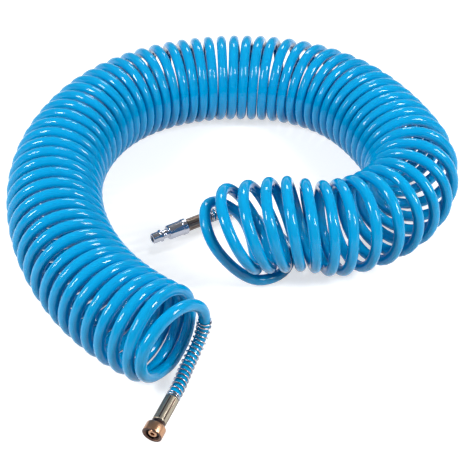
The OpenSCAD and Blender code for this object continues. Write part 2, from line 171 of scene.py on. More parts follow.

# %% [markdown]
# ## The free lengths
#
# Both ends of the hose leave the coil and swing round once before they reach their fitting. These
# free lengths follow no rule, so their points are given one by one: each is where a real, springy hose
# would lie. The fittings are placed first, because the hose leaves a fitting straight along its axis.

# %% Places of the two fittings
NUT_LEN = 0.0124
NOSE_LEN, RIDGE_LEN, GROOVE_LEN, BODY_LEN, FLANGE_LEN = 0.0075, 0.003, 0.006, 0.015, 0.0049
PLUG_LEN = NOSE_LEN + RIDGE_LEN + GROOVE_LEN + BODY_LEN + FLANGE_LEN
WASHER_T = 0.0006
SEAT_GAP = 0.00005
END_GAP = 0.0003
FERRULE_LEN = 0.025
FERRULE_END = 0.0015
STRAIGHT_RUN = 0.012
NUT_D = 0.017
FLANGE_D = 0.0154
NUT_HEADING, NUT_RISE = 67, 6

end_place, end_heading = axis_at(LAST_TURN)
end_ahead = direction(end_heading)


def from_end(ahead, left, up):
    """A point given by its distances ahead of the coil's end, to the left and up from the floor."""
    return np.array([
        end_place[0] + end_ahead[0] * ahead - end_ahead[1] * left,
        end_place[1] + end_ahead[1] * ahead + end_ahead[0] * left, up])


nut_tip = np.array([-0.0652, -0.2505, NUT_D / 2 * math.cos(math.radians(NUT_RISE))])


def fitting_matrix(tip, heading, rise):
    """Turns a piece built along +Z to a fitting's axis, which runs from its open end to the hose."""
    return (Matrix.Translation(Vector(tip)) @ Matrix.Rotation(math.radians(heading), 4, "Z")
            @ Matrix.Rotation(math.radians(90 - rise), 4, "Y"))


nut_ferrule_at = NUT_LEN + WASHER_T + 2 * SEAT_GAP
plug_ferrule_at = PLUG_LEN + WASHER_T + 2 * SEAT_GAP
plug_mouth_at = plug_ferrule_at + FERRULE_LEN
at_nut = fitting_matrix(nut_tip, NUT_HEADING, NUT_RISE)

# The hose leaves the plug's ferrule at the first place and passes the second, in line with the plug
PLUG_LEAVES = ((0.0218, -0.0731), (0.01115, -0.07865))
mouth, beyond = (from_end(ahead, left, FLANGE_D / 2) for ahead, left in PLUG_LEAVES)
plug_way = (beyond - mouth) / np.linalg.norm(beyond - mouth)
plug_tip = mouth - plug_mouth_at * plug_way
at_plug = fitting_matrix(plug_tip, math.degrees(math.atan2(plug_way[1], plug_way[0])), 0)


def along(matrix, distance):
    """A point on a fitting's axis."""
    return np.array(matrix @ Vector((0, 0, distance)))


print("nut at", nut_tip.round(4), "and plug at", plug_tip.round(4))

# %% Points of the free lengths
MM = 0.001
NUT_TAIL = (
    (-41.2, -189.5, 15.5), (-36.2, -175.5, 18), (-30.7, -164.5, 23), (-26.7, -158.5, 31),
    (-24.7, -156, 42), (-25.2, -157.5, 53), (-28.2, -161.5, 63), (-33.2, -167.5, 71),
    (-39.7, -175, 76.5), (-46.7, -182.5, 78), (-54.7, -190, 76), (-61.7, -197.5, 72),
    (-67.7, -204.5, 66), (-72.2, -209, 57.5), (-74.7, -210, 48), (-74.7, -209, 36.5),
    (-72.7, -205, 27), (-69.2, -198.5, 18.5), (-64.2, -189, 12), (-57.7, -179, 8.5), (-51.2, -169, 7))
PLUG_TAIL = (
    (4, -82, 7.5), (-4.5, -81, 7), (-12.5, -75.5, 7), (-20, -67.5, 7), (-27, -59, 7.5),
    (-34.5, -50, 7.5), (-41, -41, 8), (-46, -31, 8), (-49.5, -20.5, 7.5), (-49.5, -9.5, 7),
    (-46.5, 1, 6), (-40, 9.5, 5), (-31, 15.5, 5), (-21, 19, 5.5), (-11.5, 21, 9), (-3.5, 22.5, 16),
    (4, 24, 24.5), (10.5, 25.5, 34), (16.5, 26.5, 43.5), (22.5, 25, 53), (27, 20.5, 62), (29.5, 13, 69),
    (30, 3.5, 73.5), (28, -6.5, 74.5), (23, -15, 72), (16.5, -21.5, 67), (8.5, -25, 59.5),
    (0.5, -26.5, 51.5), (-6.5, -25.5, 42.5), (-11, -22.5, 33), (-14, -16.5, 23.5), (-15, -8.5, 16.5),
    (-16.5, 1, 13.5), (-17, 11, 15))
HOSE_STARTS_IN = FERRULE_END + END_GAP
STRAIGHT_POINTS = 5


def straight_out(matrix, ferrule_at):
    """Points of the hose inside its ferrule and straight out of its mouth."""
    first, last = ferrule_at + HOSE_STARTS_IN, ferrule_at + FERRULE_LEN + STRAIGHT_RUN
    return [along(matrix, s) for s in np.linspace(first, last, STRAIGHT_POINTS)]


nut_free = straight_out(at_nut, nut_ferrule_at) + [np.array(p) * MM for p in NUT_TAIL]
plug_free = straight_out(at_plug, plug_ferrule_at) + [from_end(*(np.array(p) * MM)) for p in PLUG_TAIL]
print(len(nut_free), "points at the nut and", len(plug_free), "at the plug")

# %% [markdown]
# ## One smooth line for the whole hose
#
# The three stretches are joined into one list of guide points. A bend in a real hose changes
# gradually, so the line must not have corners where the stretches meet. A cubic B-spline gives that:
# each point of the line is a weighted mean of its neighbours among the guide points.

# %% The hose's middle line
POINTS_PER_TURN = 32
TURN_COUNT = LAST_TURN - FIRST_TURN
wound_at = np.linspace(FIRST_TURN, LAST_TURN, round(TURN_COUNT * POINTS_PER_TURN) + 1)
wound = [wound_point(turn) for turn in wound_at]
guide = np.array(nut_free + wound + plug_free[::-1])


def b_spline(points, between):
    """The uniform cubic B-spline of the points, with its ends on the first and the last."""
    ends = np.vstack([2 * points[0] - points[1], points, 2 * points[-1] - points[-2]])
    line = []
    for i in range(len(points) - 1):
        a, b, c, d = ends[i], ends[i + 1], ends[i + 2], ends[i + 3]
        for step in range(between[i]):
            t = step / between[i]
            line.append(((1 - t) ** 3 * a + (3 * t ** 3 - 6 * t ** 2 + 4) * b
                         + (-3 * t ** 3 + 3 * t ** 2 + 3 * t + 1) * c + t ** 3 * d) / 6)
    line.append(points[-1])
    return np.array(line)


FREE_STEPS = 2
first_wound, last_wound = len(nut_free), len(nut_free) + len(wound) - 1
between = [1 if first_wound <= i < last_wound else FREE_STEPS for i in range(len(guide) - 1)]
hose_line = b_spline(guide, between)

# %% [markdown]
# ## A tube along a line
#
# Two kinds of piece are tubes: the hose and, much thinner, the wire of its springs. Blender could bevel
# a curve, and the wire is made so. The hose is a mesh instead, because its UV map can then hold real
# metres along and round the hose, which its finish needs. Each ring of points is turned only as much
# as the line bends, so that the tube never twists.

# %% Rings along a line
def carried_frames(line):
    """For each point of a line, its direction and two sides that don't twist about it."""
    ways = np.gradient(line, axis=0)
    ways /= np.linalg.norm(ways, axis=1)[:, None]
    side = np.cross(ways[0], (0, 0, 1))
    sides = []
    for way in ways:
        side = side - way * (way @ side)
        side = side / np.linalg.norm(side)
        sides.append(side)
    sides = np.array(sides)
    return ways, sides, np.cross(ways, sides)


def arc_lengths(line):
    """For each point of a line, its distance along the line from the first point."""
    return np.concatenate([[0], np.cumsum(np.linalg.norm(np.diff(line, axis=0), axis=1))])


def deselect_all():
    if bpy.context.object and bpy.context.object.mode != "OBJECT":
        bpy.ops.object.mode_set(mode="OBJECT")
    bpy.ops.object.select_all(action="DESELECT")


def select_only(piece):
    deselect_all()
    piece.select_set(True)
    bpy.context.view_layer.objects.active = piece


def swept_tube(name, line, radius, sides):
    """A closed tube along a line, with a UV map in metres: along it, and round it."""
    ways, side, other = carried_frames(line)
    angles = np.arange(sides) * 2 * math.pi / sides
    cosines, sines = np.cos(angles)[None, :, None], np.sin(angles)[None, :, None]
    ring = cosines * side[:, None] + sines * other[:, None]
    points = (line[:, None] + radius * ring).reshape(-1, 3)
    rows = len(line)
    faces = []
    for i in range(rows - 1):
        for j in range(sides):
            k = (j + 1) % sides
            faces.append((i * sides + j, i * sides + k, (i + 1) * sides + k, (i + 1) * sides + j))
    walls = len(faces)
    faces.append(tuple(range(sides - 1, -1, -1)))
    faces.append(tuple((rows - 1) * sides + j for j in range(sides)))
    mesh = bpy.data.meshes.new(name)
    mesh.from_pydata(points.tolist(), [], faces)
    arc = arc_lengths(line)
    around = 2 * math.pi * radius / sides
    uv = mesh.uv_layers.new(name="metres")
    flat = np.zeros((len(mesh.loops), 2), dtype=np.float32)
    row, column = np.divmod(np.arange(walls), sides)
    corners = flat[:walls * 4].reshape(walls, 4, 2)
    corners[:, :2, 0] = arc[row][:, None]
    corners[:, 2:, 0] = arc[row + 1][:, None]
    corners[:, (0, 3), 1] = (column * around)[:, None]
    corners[:, (1, 2), 1] = ((column + 1) * around)[:, None]
    uv.data.foreach_set("uv", flat.ravel())
    piece = bpy.data.objects.new(name, mesh)
    bpy.context.collection.objects.link(piece)
    select_only(piece)
    bpy.ops.object.shade_smooth()
    return piece


# %% The hose
HOSE_SIDES = 24
hose = swept_tube("hose", hose_line, HOSE_R, HOSE_SIDES)
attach(hose, "hose")
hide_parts("hose_coil", "hose_tail_nut_end", "hose_tail_plug_end")
print("the hose has", len(hose.data.polygons), "faces")

# %% [markdown]
# ## Turned parts
#
# The nut, the plug, the stems and the ferrules are all turned on a lathe. A lathe part is one
# outline taken round an axis. By hand, it is made from a circle whose edge is extruded and then scaled
# and moved, one step of the outline at a time. The last step comes back to the first circle, and
# merging the doubles closes the ring. A small bevel then gives each sharp edge the fine bright line
# that real machined edges have.

# %% A turned part
TURN_SIDES = 96
EDGE_WIDTH = 0.00012
EDGE_STEPS = 2
EDGE_ANGLE = math.radians(32)
SMOOTH_ANGLE = math.radians(40)
SAME_POINT = 1e-7


def join_doubles():
    """In edit mode, select everything and merge the points that lie together."""
    bpy.ops.mesh.select_all(action="SELECT")
    bpy.ops.mesh.remove_doubles(threshold=SAME_POINT)


def turned(name, outline, place, edge=EDGE_WIDTH):
    """A closed ring of the outline, which is a list of (radius, distance along the axis)."""
    deselect_all()
    first_r, first_z = outline[0]
    bpy.ops.mesh.primitive_circle_add(vertices=TURN_SIDES, radius=first_r, location=(0, 0, 0))
    piece = bpy.context.object
    piece.name = piece.data.name = name
    bpy.ops.object.mode_set(mode="EDIT")
    bpy.ops.mesh.select_all(action="SELECT")
    bpy.ops.transform.translate(value=(0, 0, first_z))
    last_r, last_z = first_r, first_z
    for r, z in list(outline[1:]) + [outline[0]]:
        bpy.ops.mesh.extrude_region_move(TRANSFORM_OT_translate={"value": (0, 0, z - last_z)})
        bpy.ops.transform.resize(value=(r / last_r, r / last_r, 1), center_override=(0, 0, z))
        last_r, last_z = r, z
    join_doubles()
    bpy.ops.mesh.normals_make_consistent(inside=False)
    bpy.ops.object.mode_set(mode="OBJECT")
    if edge:
        soften_edges(piece, edge)
    piece.data.transform(place)
    return piece


def soften_edges(piece, width):
    """A narrow bevel along each sharp edge, and smooth shading for all else."""
    select_only(piece)
    bevel = piece.modifiers.new("edges", "BEVEL")
    bevel.width = width
    bevel.segments = EDGE_STEPS
    bevel.limit_method = "ANGLE"
    bevel.angle_limit = EDGE_ANGLE
    bpy.ops.object.modifier_apply(modifier=bevel.name)
    bpy.ops.object.shade_smooth_by_angle(angle=SMOOTH_ANGLE)


def shifted(matrix, distance):
    """The place of a piece whose own start lies further along a fitting's axis."""
    return matrix @ Matrix.Translation((0, 0, distance))


# %% [markdown]
# ## Ferrules
#
# A ferrule is a sleeve that a press has squeezed onto the hose. The press has eight jaws, and each gap
# between two jaws leaves a fine line along the sleeve. The lines are made by selecting the eight rows
# of points that lie at them and scaling these towards the axis. The end wall hooks behind a collar of
# the stem, and the mouth is turned in a little where the hose goes in.

# %% Sizes of a ferrule
FERRULE_R = 0.006
CRIMPS = 8
CRIMP_DEPTH = 0.00025
CRIMP_HALF_ANGLE = 3.8
CRIMP_FROM = FERRULE_END + 0.0003
CRIMP_TO = FERRULE_LEN - FERRULE_END
CRIMP_FADE = 0.0004
REAR_CUT = (0.0004, 0.0005)
MOUTH_CUT = (0.0005, 0.0006)
FERRULE_EDGE = 0.0001
ON_WALL = 1e-6
NECK_R = 0.0035
print("a ferrule is", rounded((FERRULE_LEN / MM, 2 * FERRULE_R / MM), 1), "mm long and across")


# %% A ferrule and its crimps
def in_crimp(x, y, z):
    """Whether a point of the outer wall lies on one of the lines between the jaws."""
    on_wall = abs(math.hypot(x, y) - FERRULE_R) < ON_WALL and CRIMP_FROM - ON_WALL < z < CRIMP_TO + ON_WALL
    jaw = 360 / CRIMPS
    past_line = math.degrees(math.atan2(y, x)) % jaw
    return on_wall and min(past_line, jaw - past_line) < CRIMP_HALF_ANGLE


def ferrule(name, place):
    hole_r, inner_r = NECK_R + SEAT_GAP, HOSE_R + SEAT_GAP
    piece = turned(name, [
        (hole_r, 0), (FERRULE_R - REAR_CUT[0], 0), (FERRULE_R, REAR_CUT[1]),
        (FERRULE_R, CRIMP_FROM - CRIMP_FADE), (FERRULE_R, CRIMP_FROM), (FERRULE_R, CRIMP_TO),
        (FERRULE_R, CRIMP_TO + CRIMP_FADE), (FERRULE_R, FERRULE_LEN - MOUTH_CUT[1]),
        (FERRULE_R - MOUTH_CUT[0], FERRULE_LEN), (inner_r, FERRULE_LEN), (inner_r, FERRULE_END),
        (hole_r, FERRULE_END)], Matrix.Identity(4), edge=0)
    select_only(piece)
    bpy.ops.object.mode_set(mode="EDIT")
    bpy.ops.mesh.select_mode(type="VERT")
    bpy.ops.mesh.select_all(action="DESELECT")
    bpy.ops.object.mode_set(mode="OBJECT")
    pressed = [vertex for vertex in piece.data.vertices if in_crimp(*vertex.co)]
    for vertex in pressed:
        vertex.select = True
    bpy.ops.object.mode_set(mode="EDIT")
    squeeze = 1 - CRIMP_DEPTH / FERRULE_R
    bpy.ops.transform.resize(value=(squeeze, squeeze, 1), center_override=(0, 0, 0))
    bpy.ops.object.mode_set(mode="OBJECT")
    soften_edges(piece, FERRULE_EDGE)
    piece.data.transform(place)
    print(name, "has", len(pressed), "pressed points")
    return piece


# %% Both ferrules
nut_ferrule = ferrule("nut_sleeve", shifted(at_nut, nut_ferrule_at))
plug_ferrule = ferrule("plug_sleeve", shifted(at_plug, plug_ferrule_at))
sleeves = (
    (nut_ferrule, "nut_ferrule", "ferrule_pale_plated"),
    (plug_ferrule, "plug_ferrule", "ferrule_dark_plated"))
for piece, node, slot in sleeves:
    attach(piece, "hose")
    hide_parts(node)

# %% [markdown]
# ## The swivel nut
#
# The nut is a smooth round collar with a rounded shoulder and a narrower neck. It turns freely on the
# stem. Its bore has a G 1/4 thread, with 19 ridges an inch. A thread is a small profile carried round
# and along the axis at the same time, and the Screw modifier does just that.

# %% The nut's body
THREAD_OUTER_R = 0.00658
THREAD_INNER_R = 0.005725
THREAD_PITCH = 0.001337
THREAD_DEPTH = 0.008
NUT_R = NUT_D / 2
COLLAR_LEN = 0.0095
SHOULDER_R = 0.0018
NUT_NECK_R = 0.0059
NUT_CHAMFER = 0.0003
NECK_CHAMFER = 0.0002
SHOULDER_POINTS = 9
MOUTH_R = 0.0075
MOUTH_CHAMFER = 0.0006
JOURNAL_BORE_R = 0.00405

shoulder = [
    (NUT_R - SHOULDER_R * (1 - math.cos(a)), COLLAR_LEN - SHOULDER_R * (1 - math.sin(a)))
    for a in np.linspace(0, math.pi / 2, SHOULDER_POINTS)]
nut = turned("nut_body", [
    (MOUTH_R, 0), (NUT_R - NUT_CHAMFER, 0), (NUT_R, NUT_CHAMFER)] + shoulder + [
    (NUT_NECK_R + NUT_CHAMFER, COLLAR_LEN), (NUT_NECK_R, COLLAR_LEN + NUT_CHAMFER),
    (NUT_NECK_R, NUT_LEN - NECK_CHAMFER), (NUT_NECK_R - NECK_CHAMFER, NUT_LEN),
    (JOURNAL_BORE_R, NUT_LEN), (JOURNAL_BORE_R, THREAD_DEPTH), (THREAD_OUTER_R, THREAD_DEPTH),
    (THREAD_OUTER_R, MOUTH_CHAMFER)], Matrix.Identity(4))
print("the nut's body has", len(nut.data.polygons), "faces")

# %% The nut's thread
THREAD_TURNS = 5
THREAD_STEPS = 64
THREAD_END_GAP = 0.0002
THREAD_SMOOTH_ANGLE = math.radians(30)
ROOT_HALF, CREST_HALF = 0.0006, 0.00014
THREAD_SINK = 0.00004
deselect_all()
bpy.ops.mesh.primitive_plane_add(size=1)
thread = bpy.context.object
thread.name = thread.data.name = "nut_thread_ridge"
profile = (
    (THREAD_OUTER_R + THREAD_SINK, -ROOT_HALF), (THREAD_OUTER_R + THREAD_SINK, ROOT_HALF),
    (THREAD_INNER_R, CREST_HALF), (THREAD_INNER_R, -CREST_HALF))
for corner, (r, z) in zip(tuple(thread.data.polygons[0].vertices), profile):
    thread.data.vertices[corner].co = (r, 0, z)
bpy.ops.object.mode_set(mode="EDIT")
bpy.ops.mesh.select_all(action="SELECT")
bpy.ops.mesh.delete(type="ONLY_FACE")
bpy.ops.object.mode_set(mode="OBJECT")
screw = thread.modifiers.new("thread", "SCREW")
screw.axis = "Z"
screw.angle = 2 * math.pi
screw.screw_offset = THREAD_PITCH
screw.iterations = THREAD_TURNS
screw.steps = screw.render_steps = THREAD_STEPS
bpy.ops.object.modifier_apply(modifier=screw.name)
bpy.ops.object.mode_set(mode="EDIT")
join_doubles()
bpy.ops.mesh.select_all(action="DESELECT")
bpy.ops.mesh.select_non_manifold()
bpy.ops.mesh.edge_face_add()
bpy.ops.mesh.select_all(action="SELECT")
bpy.ops.mesh.normals_make_consistent(inside=False)
thread_from = THREAD_DEPTH - THREAD_END_GAP - ROOT_HALF - THREAD_TURNS * THREAD_PITCH
bpy.ops.transform.translate(value=(0, 0, thread_from))
bpy.ops.object.mode_set(mode="OBJECT")
bpy.ops.object.shade_smooth_by_angle(angle=THREAD_SMOOTH_ANGLE)
nut.select_set(True)
bpy.context.view_layer.objects.active = nut
bpy.ops.object.join()
nut.data.transform(at_nut)
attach(nut, "nut")
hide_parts("swivel_nut")
print("with its thread the nut has", len(nut.data.polygons), "faces")

# %% [markdown]
# ## Stems
#
# A stem is the tube with barbs that is pushed into the hose before the ferrule is pressed on. Its other
# end is the journal that the nut or the plug turns on. At the nut, the stem ends in a cone with an
# O-ring. The tip of this cone is the small bright ring in the nut's dark mouth.

# %% Sizes of a stem
STEM_BORE_R = 0.0019
CONE_TIP_R, HEAD_R, STEM_JOURNAL_R = 0.0035, 0.0052, 0.004
CONE_AT, CONE_LEN = 0.001, 0.0029
HEAD_END = THREAD_DEPTH - END_GAP
BARB_STEP, BARB_H = 0.005, 0.0004
BARB_SLOPE = 0.8 * BARB_STEP
BARBS_FROM, BARBS_SHORT_OF = 0.001, 0.002
HOSE_BORE_R = 0.00325
BARBS = int((FERRULE_LEN - FERRULE_END - BARBS_SHORT_OF) / BARB_STEP)
STEM_EDGE = 0.00005
STEM_CHAMFER, CONE_CHAMFER = 0.0003, 0.0002


def shank(ferrule_at):
    """Outline of the neck in the ferrule's end wall and the barbs in the hose."""
    root, tip = HOSE_BORE_R - SEAT_GAP - BARB_H, HOSE_BORE_R - SEAT_GAP
    neck_end, barbs_at = ferrule_at + FERRULE_END + SEAT_GAP, ferrule_at + HOSE_STARTS_IN + BARBS_FROM
    outline = [(NECK_R, ferrule_at - SEAT_GAP), (NECK_R, neck_end), (root, neck_end)]
    for i in range(BARBS):
        at = barbs_at + i * BARB_STEP
        outline += [(root, at), (tip, at), (root, at + BARB_SLOPE)]
    end = barbs_at + BARBS * BARB_STEP
    return outline + [(root, end), (STEM_BORE_R, end)]


# %% The nut's stem
def cone_r(z):
    """The cone's radius at a distance from the nut's open end."""
    return CONE_TIP_R + (HEAD_R - CONE_TIP_R) * (z - CONE_AT) / CONE_LEN


GROOVE_FROM, GROOVE_TO, GROOVE_R = 0.00209, 0.00339, 0.00345
nut_stem = turned("nut_stem_body", [
    (STEM_BORE_R, CONE_AT + STEM_CHAMFER), (STEM_BORE_R + STEM_CHAMFER, CONE_AT),
    (CONE_TIP_R - CONE_CHAMFER, CONE_AT), (cone_r(CONE_AT + CONE_CHAMFER), CONE_AT + CONE_CHAMFER),
    (cone_r(GROOVE_FROM), GROOVE_FROM),
    (GROOVE_R, GROOVE_FROM), (GROOVE_R, GROOVE_TO), (cone_r(GROOVE_TO), GROOVE_TO),
    (HEAD_R, CONE_AT + CONE_LEN), (HEAD_R, HEAD_END), (STEM_JOURNAL_R, HEAD_END),
    (STEM_JOURNAL_R, nut_ferrule_at - SEAT_GAP)] + shank(nut_ferrule_at), at_nut, edge=STEM_EDGE)
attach(nut_stem, "hose")
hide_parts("nut_stem")
print("the stem has", BARBS, "barbs")

# %% [markdown]
# ## The quick-release plug
#
# The plug has a profile that every coupling of its size can grip. The nose goes into the coupling's
# seal, the balls of the coupling drop into the groove behind the ridge, and the body fills the
# coupling's sleeve. The flange at its rear stops it. All of it is one turned part, so the outline
# holds every step, with the ridge rounded on both sides.

# %% Sizes of the plug
NOSE_R, RIDGE_R, GRIP_R, BODY_R, FLANGE_R, PASSAGE_R = 0.005, 0.006, 0.0042, 0.007, 0.0077, 0.0028
NOSE_ROUND, NOSE_POINTS = 0.0009, 6
PASSAGE_CHAMFER = 0.0005
RIDGE_FOOT, RIDGE_ROUND, RIDGE_TOP = 0.0003, 0.00015, (0.0007, 0.0011)
FOOT_CUT, BODY_CUT = 0.0004, 0.001
FLANGE_FILLET, FLANGE_CUT = 0.0002, 0.0003
CLIP_HALF, CLIP_DEPTH, CLIP_SHARE = 0.00065, 0.0007, 0.75
PLUG_JOURNAL_R, PLUG_JOURNAL_LEN = 0.0045, 0.0125
ridge_at = NOSE_LEN
groove_at = ridge_at + RIDGE_LEN
body_at = groove_at + GROOVE_LEN
flange_at = body_at + BODY_LEN
pocket_at = PLUG_LEN - PLUG_JOURNAL_LEN - END_GAP
pocket_r = PLUG_JOURNAL_R + SEAT_GAP
clip_at = PLUG_LEN - CLIP_SHARE * PLUG_JOURNAL_LEN
clip_r = pocket_r + CLIP_DEPTH
print("the plug's body starts", round(body_at / MM, 1), "mm from its nose")

# %% The plug
nose = [(NOSE_R - NOSE_ROUND * (1 - math.sin(a)), NOSE_ROUND * (1 - math.cos(a)))
        for a in np.linspace(0, math.pi / 2, NOSE_POINTS)]
ridge = [
    (NOSE_R, ridge_at - FOOT_CUT), (NOSE_R + RIDGE_FOOT, ridge_at),
    (RIDGE_R - RIDGE_ROUND, ridge_at + RIDGE_TOP[0]), (RIDGE_R, ridge_at + RIDGE_TOP[1]),
    (RIDGE_R, groove_at - RIDGE_TOP[1]), (RIDGE_R - RIDGE_ROUND, groove_at - RIDGE_TOP[0])]
groove = [
    (GRIP_R + FOOT_CUT, groove_at), (GRIP_R, groove_at + FOOT_CUT), (GRIP_R, body_at - FOOT_CUT),
    (GRIP_R + FOOT_CUT, body_at)]
body = [
    (BODY_R - BODY_CUT, body_at), (BODY_R, body_at + BODY_CUT), (BODY_R, flange_at - FLANGE_FILLET),
    (BODY_R + FLANGE_FILLET, flange_at)]
flange = [
    (FLANGE_R - FLANGE_CUT, flange_at), (FLANGE_R, flange_at + FLANGE_CUT),
    (FLANGE_R, PLUG_LEN - FOOT_CUT), (FLANGE_R - FOOT_CUT, PLUG_LEN)]
pocket = [
    (pocket_r, PLUG_LEN), (pocket_r, clip_at + CLIP_HALF), (clip_r, clip_at + CLIP_HALF),
    (clip_r, clip_at - CLIP_HALF), (pocket_r, clip_at - CLIP_HALF), (pocket_r, pocket_at)]
passage = [(PASSAGE_R, PASSAGE_CHAMFER), (PASSAGE_R + PASSAGE_CHAMFER, 0)]
plug = turned(
    "plug_body", passage + nose + ridge + groove + body + flange + pocket + [(PASSAGE_R, pocket_at)], at_plug)
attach(plug, "plug")
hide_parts("plug_nipple")
print("the plug has", len(plug.data.polygons), "faces and is", round(PLUG_LEN / MM, 1), "mm long")

# %% [markdown]
# ## Guard springs
#
# A spring of round wire sits over the hose at each end and stops it from kinking at the ferrule. The
# wire winds round the hose's own line, so the spring bends with it. At both ends of a real spring the
# last curl lies flat against the one before it, and so the pitch is narrowed there.

# %% Sizes of a spring
WIRE_R = 0.00065
SPRING_PLAY = 0.00015
SPRING_R = HOSE_R + SPRING_PLAY + WIRE_R
POINTS_PER_CURL = 28
CLOSED_PITCH = 2 * WIRE_R * 1.04
CLOSED_CURLS, OPENING_CURLS = 0.6, 0.8
LINE_SPARE = 0.02
WIRE_ROUNDNESS = 3
WIRE_SMOOTH_ANGLE = math.radians(50)
print("a guard spring is", round(2 * (SPRING_R + WIRE_R) / MM, 1), "mm across")



# %% A spring along the hose
def spring_pitches(length, curls):
    """How far the wire advances at each step, narrow in the first and the last curl."""
    at = (np.arange(curls * POINTS_PER_CURL) + 0.5) / POINTS_PER_CURL
    open_share = np.array([smooth_step((min(a, curls - a) - CLOSED_CURLS) / OPENING_CURLS) for a in at])
    closed = (1 - open_share) * CLOSED_PITCH
    open_pitch = (length - closed.sum() / POINTS_PER_CURL) / (open_share.sum() / POINTS_PER_CURL)
    return (closed + open_share * open_pitch) / POINTS_PER_CURL


def guard_spring(name, line, start, length, curls):
    """A wire wound round the hose's line, from one distance along it to another."""
    arc = arc_lengths(line)
    used = arc < start + length + LINE_SPARE
    line, arc = line[used], arc[used]
    sides, others = carried_frames(line)[1:]
    steps = np.concatenate([[0], np.cumsum(spring_pitches(length, curls))]) + start
    angles = -np.arange(len(steps)) * 2 * math.pi / POINTS_PER_CURL
    centre, side, other = (
        np.array([np.interp(steps, arc, values[:, k]) for k in range(3)]).T for values in (line, sides, others))
    wire = centre + SPRING_R * (np.cos(angles)[:, None] * side + np.sin(angles)[:, None] * other)
    deselect_all()
    bpy.ops.curve.primitive_nurbs_path_add()
    piece = bpy.context.object
    piece.name = piece.data.name = name
    curve = piece.data
    curve.splines.clear()
    spline = curve.splines.new("POLY")
    spline.points.add(len(wire) - 1)
    spline.points.foreach_set("co", np.hstack([wire, np.ones((len(wire), 1))]).ravel())
    curve.bevel_depth = WIRE_R
    curve.bevel_resolution = WIRE_ROUNDNESS
    curve.use_fill_caps = True
    bpy.ops.object.convert(target="MESH")
    piece = bpy.context.object
    bpy.ops.object.mode_set(mode="EDIT")
    join_doubles()
    bpy.ops.mesh.normals_make_consistent(inside=False)
    bpy.ops.object.mode_set(mode="OBJECT")
    bpy.ops.object.shade_smooth_by_angle(angle=WIRE_SMOOTH_ANGLE)
    print(name, "has", curls, "curls and", len(piece.data.polygons), "faces")
    return piece


# %% Both springs
SPRING_CURLS = 18
NUT_SPRING_LEN, PLUG_SPRING_LEN = 0.078, 0.054
spring_start = FERRULE_LEN - HOSE_STARTS_IN + WIRE_R + SEAT_GAP
nut_spring = guard_spring("nut_end_spring", hose_line, spring_start, NUT_SPRING_LEN, SPRING_CURLS)
plug_spring = guard_spring("plug_end_spring", hose_line[::-1], spring_start, PLUG_SPRING_LEN, SPRING_CURLS)
for piece, node in ((nut_spring, "nut_guard_spring"), (plug_spring, "plug_guard_spring")):
    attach(piece, "hose")
    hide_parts(node)

# %% [markdown]
# ## What the hose carries
#
# All that is on the hose is listed here with it: the springs, the ferrules, the stems, the nut, the plug
# and their small rings.

on_hose = [nut_ferrule, nut_spring, nut, nut_stem, plug_ferrule, plug_spring, plug]
small_nodes = ("cone_o_ring", "nut_slip_washer", "plug_stem", "plug_o_ring", "plug_slip_washer",
               "plug_retaining_ring")
on_hose += [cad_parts[name] for name in small_nodes]

# %% [markdown]
# ## Building materials
#
# A material is a small net of nodes, so a few helpers make the nets short to write. Effects that more
# than one finish needs are node groups. A group has named sockets, and each material uses it with
# values of its own. The numbers that are the same all over a surface are set on the shader itself.

# %% Helpers for node nets
def put(tree, socket, value):
    """Link a socket to another node's output, or set its value."""
    if isinstance(value, bpy.types.NodeSocket):
        tree.links.new(value, socket)
    else:
        socket.default_value = value


def add(tree, kind, **settings):
    """Add a node; a setting is a property of the node, or else the name of one of its inputs."""
    node = tree.nodes.new(kind)
    for key, value in settings.items():
        if hasattr(node, key):
            setattr(node, key, value)
        else:
            put(tree, node.inputs[key.replace("_", " ")], value)
    return node


def math_node(tree, operation, *values):
    node = add(tree, "ShaderNodeMath", operation=operation)
    for socket, value in zip(node.inputs, values):
        put(tree, socket, value)
    return node.outputs[0]


def mixed(tree, factor, colour, other):
    """The first colour where the factor is 0 and the other where it is 1."""
    node = add(tree, "ShaderNodeMix", data_type="RGBA")
    factor_in, colour_in, other_in, colour_out = 0, 6, 7, 2
    for index, value in ((factor_in, factor), (colour_in, colour), (other_in, other)):
        put(tree, node.inputs[index], value)
    return node.outputs[colour_out]


def noise(tree, vector, detail, roughness, scale=1.0):
    node = add(tree, "ShaderNodeTexNoise", Vector=vector, Scale=scale, Detail=detail, Roughness=roughness)
    return node.outputs["Fac"]


def new_group(name, inputs, outputs):
    """A node group of float sockets and a Position; returns its tree, its given values and its output node."""
    tree = bpy.data.node_groups.new(name, "ShaderNodeTree")
    tree.interface.new_socket(name="Position", in_out="INPUT", socket_type="NodeSocketVector")
    for label, value in inputs:
        socket = tree.interface.new_socket(name=label, in_out="INPUT", socket_type="NodeSocketFloat")
        socket.default_value = value
    for label in outputs:
        tree.interface.new_socket(name=label, in_out="OUTPUT", socket_type="NodeSocketFloat")
    return tree, tree.nodes.new("NodeGroupInput").outputs, tree.nodes.new("NodeGroupOutput")


def use_group(tree, group, **values):
    """Add a group and give each of its named inputs a value or a link."""
    node = add(tree, "ShaderNodeGroup", node_tree=group)
    for key, value in values.items():
        put(tree, node.inputs[key.replace("_", " ")], value)
    return node.outputs


# %% [markdown]
# ## Effects that the finishes share
#
# Turned metal keeps the fine rings of the cutting tool. All rings have the same axis, so the pattern
# is a noise over two lengths only: the distance from the axis and the distance along it. Handling
# leaves smudges, which change only the roughness, and a few fine scratches.

# %% Distance from an axis
def distance_from_axis(tree, split):
    """Distance from the Z axis of a position that is split into X, Y and Z."""
    squares = [math_node(tree, "MULTIPLY", split.outputs[way], split.outputs[way]) for way in "XY"]
    return math_node(tree, "SQRT", math_node(tree, "ADD", *squares))


